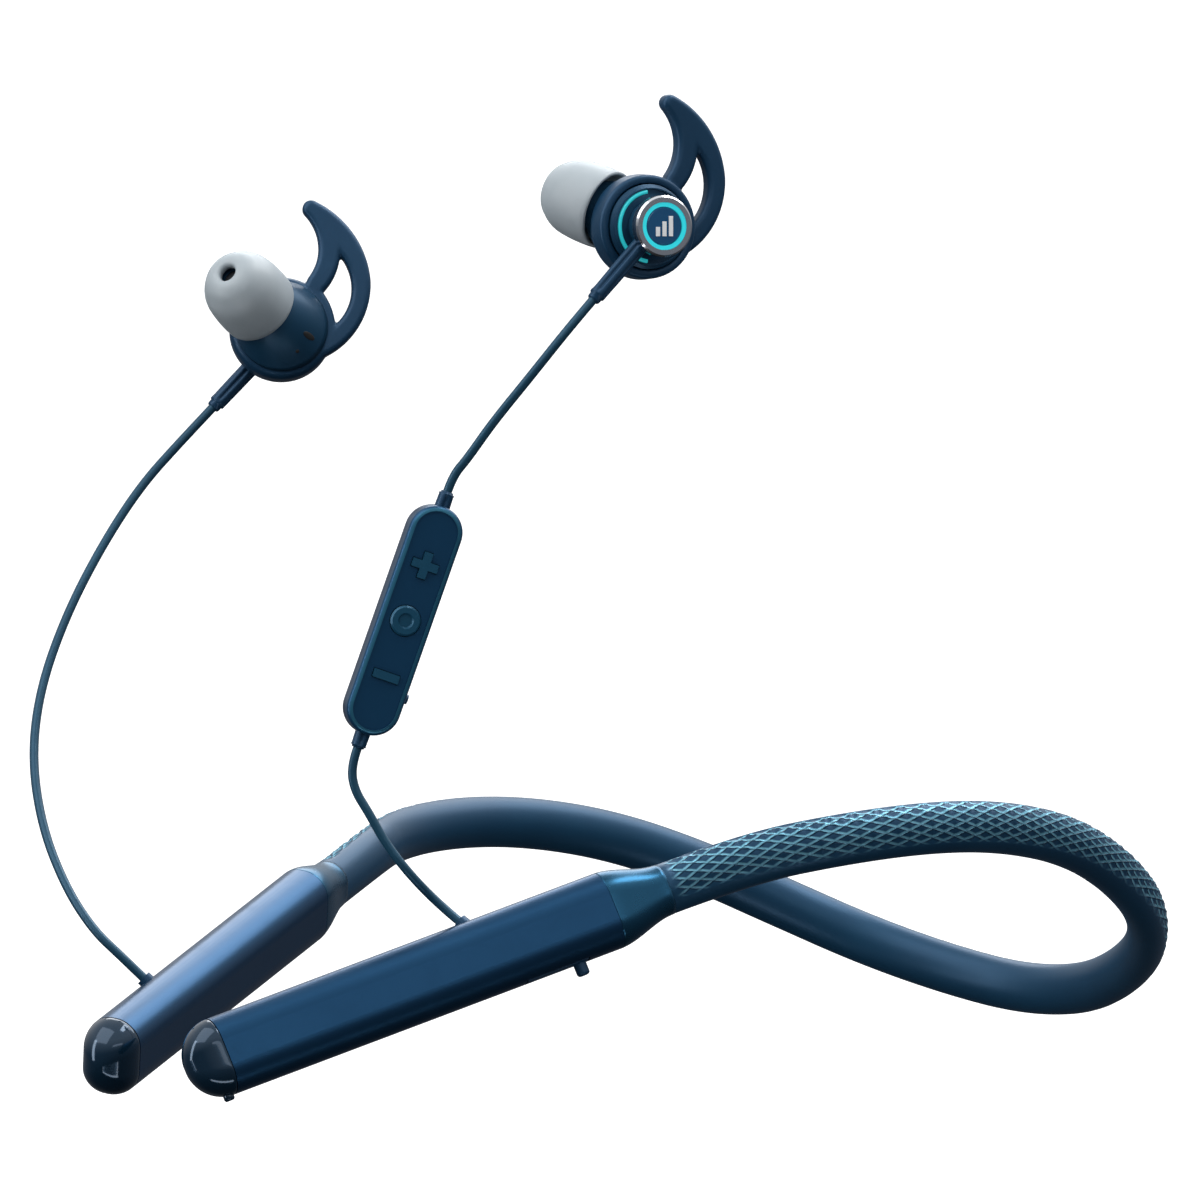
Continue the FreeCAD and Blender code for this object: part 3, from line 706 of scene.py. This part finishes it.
def smooth_line(name, points, steps):
    """A smooth curve with these points, in millimetres, as its control points."""
    curve = bpy.data.curves.new(name, "CURVE")
    curve.dimensions = "3D"
    spline = curve.splines.new("NURBS")
    spline.points.add(len(points) - 1)
    for control, point in zip(spline.points, points):
        control.co = (*(MM * value for value in point), 1.0)
    spline.order_u = 3
    spline.use_endpoint_u = True
    spline.resolution_u = steps
    curve.resolution_u = steps
    return curve


def make_cord(name, points):
    curve = smooth_line(name, points, 16)
    curve.bevel_depth = CORD_WIDE / 2
    curve.bevel_resolution = 6
    curve.use_fill_caps = True
    curve.materials.append(FINISHES["cord_jacket"])
    cord = bpy.data.objects.new(name + "_jacket", curve)
    bpy.context.scene.collection.objects.link(cord)
    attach(cord, "band")
    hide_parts(name)


for cord_name, cord_points in CORDS.items():
    make_cord(cord_name, cord_points)

# ---------------------------------------------------------------- neckband

HALF_BAND = [
    (7.5, 3.85, 0.0), (21.5, -0.2, 3.2), (34.5, -6.8, 8.0), (44.8, -16.7, 14.3),
    (51.2, -29.7, 20.6), (56.0, -44.7, 25.6), (58.4, -61.2, 28.0), (58.6, -77.7, 28.1),
    (54.8, -94.2, 26.2),
]
SCALE_LONG, SCALE_WIDE, SCALE_HIGH = 4.3 * MM, 1.7 * MM, 0.30 * MM
SCALES_LOW, SCALES_HIGH, SCALES_SOFT = (math.radians(angle) for angle in (-40, 90, 12))
SCALES_START, SCALES_FADE = 0.8 * MM, 2.0 * MM  # from the collar along the band


def band_line():
    """The band's corners from the right collar to the left one, in millimetres."""
    half = [Vector(point) for point in HALF_BAND]
    place = PODS["left"]
    along = place.to_3x3() @ Vector((1, 0, 0))
    seam = place.translation / MM
    half += [seam - along * (COLLAR_LENGTH / MM + 15.0), seam - along * (COLLAR_LENGTH / MM - 0.3)]
    return [Vector((-point.x, point.y, point.z)) for point in reversed(half)] + half


def fine_turns():
    """Angles round the band, close together where the scales are."""
    scaled = [math.radians(-42 + 2.4 * i) for i in range(61)]
    plain = [math.radians(105 + 213 * (i + 0.5) / 22) for i in range(22)]
    return scaled + plain


def oval():
    """The band's cross-section, taller than it is thick, as a closed curve."""
    curve = bpy.data.curves.new("band_section", "CURVE")
    curve.dimensions = "2D"
    spline = curve.splines.new("POLY")
    turns = fine_turns()
    spline.points.add(len(turns) - 1)
    for turn, point in zip(turns, spline.points):
        point.co = (BAND_THICK / 2 * math.cos(turn), BAND_TALL / 2 * math.sin(turn), 0, 1)
    spline.use_cyclic_u = True
    section = bpy.data.objects.new("band_section", curve)
    bpy.context.scene.collection.objects.link(section)
    return section


def scale_height(p, q):
    """How high a scale stands, from 0 to 1: staggered diamonds that overlap downwards like tiles."""
    u, v = (p - q) % 1.0, (-p - q) % 1.0
    groove = eased(min(u, v), 0.0, 0.14) * (1 - eased(max(u, v), 0.90, 1.0))
    return groove * (0.3 + 0.35 * (u + v))


def make_band():
    curve = smooth_line("band_route", band_line(), 56)
    section = oval()
    curve.bevel_mode = "OBJECT"
    curve.bevel_object = section
    curve.twist_mode = "Z_UP"
    curve.use_fill_caps = True
    swept_band = bpy.data.objects.new("band_route", curve)
    bpy.context.scene.collection.objects.link(swept_band)
    mesh = bpy.data.meshes.new_from_object(swept_band.evaluated_get(bpy.context.evaluated_depsgraph_get()))
    curve.bevel_mode = "ROUND"
    curve.bevel_object = None
    middle_line = centre_line(swept_band)
    bpy.data.objects.remove(swept_band)
    bpy.data.objects.remove(section)
    carve_scales(mesh, middle_line)
    mesh.name = "band_skin"
    piece_from(mesh, "band_skin", "band_silicone", "band", ["neckband"])


def centre_line(route):
    """Points of a route's smooth line, with how far along it each one lies."""
    mesh = bpy.data.meshes.new_from_object(route.evaluated_get(bpy.context.evaluated_depsgraph_get()))
    points = [vert.co.copy() for vert in mesh.vertices]
    along = [0.0]
    for before, after in zip(points, points[1:]):
        along.append(along[-1] + (after - before).length)
    return points, along


def carve_scales(mesh, middle_line):
    """Raise the scales on the outer and upper part of the band."""
    points, along = middle_line
    tree = KDTree(len(points))
    for i, point in enumerate(points):
        tree.insert(point, i)
    tree.balance()
    names = ("scale_along", "scale_round", "scale_mask")
    layers = [mesh.attributes.new(name, "FLOAT", "POINT") for name in names]
    length = along[-1]
    nape = Vector((0, -0.062, 0))
    raised = []
    for vert in mesh.vertices:
        nearest, i, _ = tree.find(vert.co)
        ahead = points[min(i + 1, len(points) - 1)] - points[max(i - 1, 0)]
        ahead.normalize()
        side = Vector((nearest.x - nape.x, nearest.y - nape.y, 0))
        side -= ahead * side.dot(ahead)
        side.normalize()
        up = ahead.cross(side)
        if up.z < 0:
            up = -up
        spoke = vert.co - nearest
        travel = along[i] + spoke.dot(ahead)
        angle = math.atan2(spoke.dot(up), spoke.dot(side))
        round_it = angle * (BAND_TALL + BAND_THICK) / 4
        edge = min(travel, length - travel)
        mask = eased(edge, SCALES_START, SCALES_START + SCALES_FADE)
        mask *= eased(angle, SCALES_LOW, SCALES_LOW + SCALES_SOFT)
        mask *= 1 - eased(angle, SCALES_HIGH - SCALES_SOFT, SCALES_HIGH)
        p, q = (travel - length / 2) / SCALE_LONG, round_it / SCALE_WIDE
        for layer, value in zip(layers, (p, q, mask)):
            layer.data[vert.index].value = value
        height = mask * scale_height(p, q)
        raised.append(vert.co + vert.normal * height * SCALE_HIGH)
    for vert, place in zip(mesh.vertices, raised):
        vert.co = place


make_band()

# ---------------------------------------------------------------- pods


def make_collar(side):
    """A flared sleeve that necks in from the pod's section to the band's."""
    rings = [0.0, 0.012, 0.03] + [i / 20 for i in range(1, 21)] + [1.0]
    last = len(rings) - 1

    def place(turn, i):
        share = rings[i]
        ease = share * share * (3 - 2 * share)
        draft = 0.992 if i == 0 else 1.0
        half_y = (POD_THICK / 2 * (1 - ease) + (BAND_THICK / 2 + 0.04 * MM) * ease) * draft
        half_z = (POD_TALL / 2 * (1 - ease) + (BAND_TALL / 2 + 0.04 * MM) * ease) * draft
        corner = min(half_y, half_z) * (POD_CORNER / (POD_THICK / 2) * (1 - ease) + 0.98 * ease)
        if i == last:
            half_y, half_z, corner = half_y - 0.3 * MM, half_z - 0.3 * MM, corner - 0.3 * MM
        y, z = rounded_rectangle(turn, half_y, half_z, corner)
        return Vector((-share * COLLAR_LENGTH - 0.02 * MM, y, z))

    bm = swept(range(len(rings)), 96, place)
    close_ends(bm)
    finished(bm, side + "_collar_flare", PODS[side], "pod_satin", "band", [side + "_collar"],
             "collar_satin")


def make_cap(side):
    """The glossy domed end of a pod, set off by a fine groove."""
    groove = [(0.0, 0.975), (0.03, 0.993), (0.06, 1.0)]
    dome = [(math.sin(a), math.cos(a)) for a in (math.radians(8 + 81 * i / 18) for i in range(19))]
    rings = groove + [(max(0.07, along), shrink) for along, shrink in dome]

    def place(turn, ring):
        along, shrink = ring
        y, z = rounded_rectangle(turn, POD_THICK / 2 * shrink, POD_TALL / 2 * shrink, POD_CORNER * shrink)
        return Vector((POD_LENGTH + CAP_LENGTH * along, y, z))

    bm = swept(rings, 96, place)
    close_ends(bm)
    finished(bm, side + "_cap_dome", PODS[side], "dark_gloss", "band", [side + "_end_cap"])
    if side == "left":
        pip = lathed(in_mm([(0, 0), (0.9, 0.0), (0.9, -1.3), (0.7, -1.6), (0, -1.6)]), 24)
        place_pip = PODS[side] @ Matrix.Translation((POD_LENGTH + 1.2 * MM, 0, -5.6 * MM))
        finished(pip, "left_cap_pip", place_pip, "dark_gloss", "band")


for pod_side in ("left", "right"):
    make_collar(pod_side)
    make_cap(pod_side)


def dress(node, finish, edge=0.12 * MM):
    """Give a CAD part its material, and round its sharp edges."""
    part = frame["nodes"][node]
    part.data.materials.clear()
    part.data.materials.append(FINISHES[finish])
    if edge:
        soften(part, edge, 2)


# ---------------------------------------------------------------- remote


def make_remote_relief(end):
    way = 1 if end == "upper" else -1
    stand = Matrix.Translation((0, way * 17.6 * MM, 0)) @ Matrix.Rotation(-way * math.pi / 2, 4, "X")
    finished(fluted(4.4 * MM, 1.35 * MM, 4, 0.2), f"{end}_relief_boot", REMOTE @ stand, "soft_navy", "band",
             [f"remote_{end}_relief"])


for relief_end in ("upper", "lower"):
    make_remote_relief(relief_end)

# ---------------------------------------------------------------- earbuds

NOZZLE_ROOT = Vector((3.0, 2.2, 3.0)) * MM
RELIEF_WAY = Vector((0.682, -0.731, 0)).normalized()
RELIEF_LEVEL = -6.2 * MM


def nozzle_place(side):
    """Z runs out along the nozzle."""
    bud = BUDS[side]
    root = bud @ Vector((OUTWARD[side] * NOZZLE_ROOT.x, NOZZLE_ROOT.y, NOZZLE_ROOT.z))
    z = Vector(joints[side + "_tip_pull"]["axis"]).normalized()
    x = Vector((0, 0, 1)).cross(z).normalized()
    return basis(root, x, z.cross(x), z)


def make_tip(side):
    """A soft dome with a rolled rim, a skirt that hangs free and a stem that grips the nozzle."""
    outline = drawn([
        (2.65, 5.0), (3.4, 5.0), (3.5, 5.1), (3.5, 9.5), (5.6, 7.9, 4.9, 9.2), (5.95, 1.9), (6.05, 1.7),
        (6.4, 1.7), (6.55, 1.9), (6.35, 8.2, 6.62, 5.0), (5.0, 11.3, 5.85, 9.9), (2.9, 13.1, 4.1, 12.4),
        (2.0, 13.3), (1.6, 13.05), (1.45, 12.7), (1.45, 12.0), (1.7, 11.7), (2.65, 11.4),
    ], 8)
    bm = lathed(in_mm(outline), 72)
    finished(bm, side + "_tip_dome", nozzle_place(side), "tip_silicone", side + "_tip", [side + "_ear_tip"])


def fin_outline(side):
    """The ear fin's edge and its window, from above the bud."""
    mirror = -OUTWARD[side]
    edge = drawn([
        (3.5, 6.2), (5.0, -5.6), (14.8, 8.0, 12.0, -0.8), (5.9, 21.3, 12.1, 15.8),
        (3.9, 19.3, 4.1, 21.2), (4.4, 8.4, 6.2, 14.0),
    ], 16)
    window = drawn([
        (9.8, 12.2), (6.9, 6.0, 8.9, 8.9), (8.9, 0.6, 8.3, 3.3), (9.8, 12.2, 11.6, 6.4),
    ], 14)[:-1]
    return [[(mirror * x * MM, y * MM) for x, y in loop] for loop in (edge, window)]


def make_wing(side):
    """The soft sleeve and its pierced fin, moulded in one."""
    curve = bpy.data.curves.new("fin", "CURVE")
    curve.dimensions = "2D"
    curve.fill_mode = "BOTH"
    for loop in fin_outline(side):
        spline = curve.splines.new("POLY")
        spline.points.add(len(loop) - 1)
        for point, (x, y) in zip(spline.points, loop):
            point.co = (x, y, 0, 1)
        spline.use_cyclic_u = True
    curve.extrude = 0.7 * MM
    curve.bevel_depth = 0.85 * MM
    curve.bevel_resolution = 4
    curve.offset = -0.85 * MM
    fin = bpy.data.objects.new("fin", curve)
    bpy.context.scene.collection.objects.link(fin)
    fin_mesh = bpy.data.meshes.new_from_object(fin.evaluated_get(bpy.context.evaluated_depsgraph_get()))
    bpy.data.objects.remove(fin)

    sleeve = lathed(in_mm(drawn([
        (7.05, -3.3), (7.7, -3.4), (8.5, -2.6, 8.3, -3.2), (8.6, -0.2), (8.15, 1.3, 8.52, 0.6),
        (7.05, 1.8, 7.65, 1.65),
    ], 6)), 96)
    bmesh.ops.recalc_face_normals(sleeve, faces=sleeve.faces)
    sleeve.from_mesh(fin_mesh)
    bmesh.ops.remove_doubles(sleeve, verts=sleeve.verts, dist=1e-7)
    mesh = bpy.data.meshes.new("rough_wing")
    sleeve.to_mesh(mesh)
    sleeve.free()
    rough = bpy.data.objects.new("rough_wing", mesh)
    bpy.context.scene.collection.objects.link(rough)
    remesh = rough.modifiers.new("join", "REMESH")
    remesh.mode = "VOXEL"
    remesh.voxel_size = 0.22 * MM
    settle = rough.modifiers.new("settle", "SMOOTH")
    settle.factor = 0.5
    settle.iterations = 6
    joined = bpy.data.meshes.new_from_object(rough.evaluated_get(bpy.context.evaluated_depsgraph_get()))
    bpy.data.objects.remove(rough)
    bm = bmesh.new()
    bm.from_mesh(joined)
    clear_bore(bm)
    finished(bm, side + "_wing_skin", BUDS[side], "soft_navy", side + "_wing", [side + "_wing"])


def clear_bore(bm):
    """Push back what the fin puts inside the sleeve's bore."""
    bore = 7.0 * MM
    for vert in bm.verts:
        radius = math.hypot(vert.co.x, vert.co.y)
        if 0 < radius < bore:
            vert.co.x *= bore / radius
            vert.co.y *= bore / radius


FRONT_CROWN = 0.16  # how far the front bulges, as a share of its height
FRONT_BASE = 6.98  # radius of the front's hidden foot inside the sleeve
LIP_RADIUS, LIP_HEIGHT = 7.62, 1.85
FOOT_RADIUS, FOOT_HEIGHT = 4.5, 3.4  # where the front meets the nozzle


def make_front(side):
    """The egg-shaped front of the housing, from the sleeve's lip to the slanted nozzle's foot."""
    bud, nozzle = BUDS[side], nozzle_place(side)
    to_bud = bud.inverted() @ nozzle
    steps = 16
    lip, lip_height = LIP_RADIUS * MM, LIP_HEIGHT * MM
    foot, foot_height = FOOT_RADIUS * MM, FOOT_HEIGHT * MM

    def place(turn, i):
        way = Vector((math.cos(turn), math.sin(turn), 0))
        if i < 2:
            return way * FRONT_BASE * MM + Vector((0, 0, i * (lip_height - 0.05 * MM)))
        if i == steps:
            return to_bud @ (way * 2.5 * MM + Vector((0, 0, foot_height + 0.5 * MM)))
        share = (i - 2) / (steps - 3)
        low = way * lip + Vector((0, 0, lip_height))
        high = to_bud @ (way * foot + Vector((0, 0, foot_height)))
        point = low.lerp(high, share)
        point.z += (high.z - low.z) * FRONT_CROWN * math.sin(share * math.pi)
        return point

    bm = swept(range(steps + 1), 96, place)
    close_ends(bm)
    skin = BVHTree.FromBMesh(bm)
    finished(bm, side + "_dome", bud, "bud_gloss", "band", [side + "_front_housing"])
    stem = lathed(in_mm([
        (1.6, 0.0), (2.55, 0.0), (2.55, 9.6), (2.75, 9.9), (2.75, 10.5), (2.4, 11.0), (1.6, 11.0),
    ]), 48)
    finished(stem, side + "_nozzle", nozzle, "bud_gloss", "band", soft_edges=0.08 * MM)
    return skin


# Each vent's name, its place across the front in millimetres, and its half length and half width.
VENTS = [("slot", (-4.3, -2.2), 1.35, 0.52), ("pin_hole", (-2.4, -4.7), 0.32, 0.32)]
VENT_DEEP = 0.12


def make_vents(side, skin):
    """A long vent slot and a pin-hole beside it, on the housing's skin opposite the nozzle, as black patches of
    painted shade for the holes.
    """
    for name, (x, y), long, wide in VENTS:
        bm = bmesh.new()
        bmesh.ops.create_uvsphere(bm, u_segments=32, v_segments=16, radius=1.0)
        bmesh.ops.scale(bm, vec=(long * MM, wide * MM, VENT_DEEP * MM), verts=bm.verts)
        spot, out, _, _ = skin.ray_cast(Vector((OUTWARD[side] * x, y, 20)) * MM, Vector((0, 0, -1)))
        if out.z < 0:
            out = -out
        lengthwise = out.cross(Vector((spot.x, spot.y, 0)).cross(out)).normalized()
        place = BUDS[side] @ basis(spot, lengthwise, out.cross(lengthwise), out)
        # the black patch is painted shade that stands for the dark inside of the hole
        finished(bm, f"{side}_vent_{name}", place, "switch_black", "band")


def make_boot(side):
    way = Vector((OUTWARD[side] * RELIEF_WAY.x, RELIEF_WAY.y, 0))
    start = way * 2.9 * MM + Vector((0, 0, RELIEF_LEVEL))
    x = Vector((0, 0, 1))
    place_boot = BUDS[side] @ basis(start, x, way.cross(x), way)
    finished(fluted(13.5 * MM, 1.45 * MM, 5, 0.28), side + "_boot", place_boot, "soft_navy", "band",
             [side + "_bud_relief"])


def make_halo(side):
    """A crescent round the side of the housing away from the fin; its cyan glow is a painted reflection on a
    glossy ring.
    """
    bm = bmesh.new()
    verts = [bm.verts.new((radius * MM, 0, height * MM)) for radius, height in
             ((5.4, -4.4), (5.4, -4.72), (5.9, -4.78), (6.0, -4.4))]
    edges = [bm.edges.new(pair) for pair in zip(verts, verts[1:] + verts[:1])]
    bmesh.ops.contextual_create(bm, geom=edges)
    half_turn = math.radians(82)
    bmesh.ops.rotate(bm, verts=verts, cent=(0, 0, 0), matrix=Matrix.Rotation(-half_turn, 3, "Z"))
    bmesh.ops.spin(bm, geom=verts + edges, cent=(0, 0, 0), axis=(0, 0, 1), angle=2 * half_turn, steps=48)
    close_ends(bm)
    middle = 0.0 if side == "left" else math.pi
    finished(bm, side + "_halo_crescent", BUDS[side] @ Matrix.Rotation(middle, 4, "Z"), "glow_ring", "band",
             [side + "_halo_ring"], "halo_painted_reflection")


BAR_HEIGHTS = (1.5, 2.4, 3.3)
BAR_STEP, BAR_WIDE, BAR_LEVEL = 1.15, 0.75, -9.62


def make_mark(side):
    """Three plain level bars on the disc."""
    for i, tall in enumerate(BAR_HEIGHTS):
        bm = bmesh.new()
        bmesh.ops.create_cube(bm, size=1.0)
        bmesh.ops.scale(bm, vec=(BAR_WIDE * MM, tall * MM, 0.12 * MM), verts=bm.verts)
        middle = Vector(((1 - i) * BAR_STEP, (tall - BAR_HEIGHTS[-1]) / 2, BAR_LEVEL)) * MM
        finished(bm, f"{side}_mark_bar_{i + 1}", BUDS[side] @ Matrix.Translation(middle),
                 "disc_blue", "band", finish="mark_white", soft_edges=0.05 * MM, smooth=False)


for bud_side in ("left", "right"):
    make_tip(bud_side)
    make_wing(bud_side)
    make_vents(bud_side, make_front(bud_side))
    make_boot(bud_side)
    make_halo(bud_side)
    make_mark(bud_side)

# ---------------------------------------------------------------- finishes on the CAD parts

for hand in ("left", "right"):
    for shell in ("outer_shell", "inner_shell"):
        dress(f"{hand}_{shell}", "pod_satin", 0.18 * MM)
    dress(hand + "_cord_gland", "soft_navy", 0.35 * MM)
    dress(hand + "_rear_housing", "bud_gloss", 0.1 * MM)
    dress(hand + "_driver", "driver_steel", 0)
    dress(hand + "_nozzle_screen", "screen_steel", 0)
    dress(hand + "_trim_ring", "trim_chrome", 0.12 * MM)
    dress(hand + "_glow_ring", "glow_ring", 0.1 * MM)
    dress(hand + "_bud_disc", "disc_blue", 0.1 * MM)
dress("memory_core", "spring_steel", 0)
dress("main_board", "circuit_board", 0)
dress("charge_socket", "socket_steel", 0.05 * MM)
dress("charge_flap", "soft_navy", 0.4 * MM)
dress("battery_cell", "cell_foil", 0)
dress("remote_front_shell", "remote_face", 0.08 * MM)
dress("remote_back_shell", "pod_satin", 0.08 * MM)
dress("remote_board", "circuit_board", 0)
dress("key_switches", "switch_black", 0)
dress("mic_boot", "soft_navy", 0.12 * MM)
for key in ("plus_key", "play_key", "minus_key"):
    dress(key, "key_plastic", 0.15 * MM)
